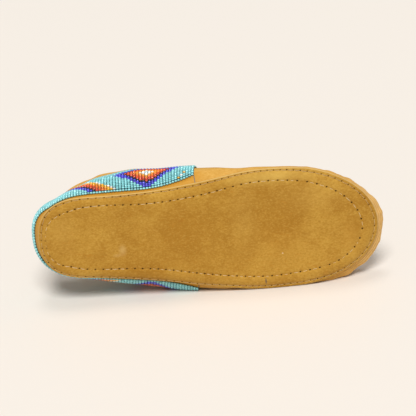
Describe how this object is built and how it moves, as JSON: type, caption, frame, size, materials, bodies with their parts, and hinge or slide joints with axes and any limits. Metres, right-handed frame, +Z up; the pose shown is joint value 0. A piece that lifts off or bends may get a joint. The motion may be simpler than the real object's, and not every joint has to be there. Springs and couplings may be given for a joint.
{
  "type": "beaded moccasin",
  "caption": "Left slip-on moccasin in golden tan suede with a wide beaded band round the heel, lying on its outer side with the stitched suede sole in view.",
  "frame": {"origin": "Middle of the footprint of the lying shoe, on the floor.", "axes": "+X from the heel to the toe, +Y from the sole into the shoe, +Z up, towards the inner side of the foot."},
  "size_m": [0.2625, 0.0583, 0.0962],
  "materials": {
    "sole_suede": "brushed golden tan suede",
    "insole_leather": "smooth pale tan leather",
    "upper_suede": "brushed golden tan suede",
    "glass_beads": "opaque glossy seed beads, turquoise with a nested diamond pattern"
  },
  "bodies": {
    "root": {"sole": "sole_suede", "insole": "insole_leather", "upper": "upper_suede", "beaded_band": "glass_beads"}
  },
  "joints": []
}
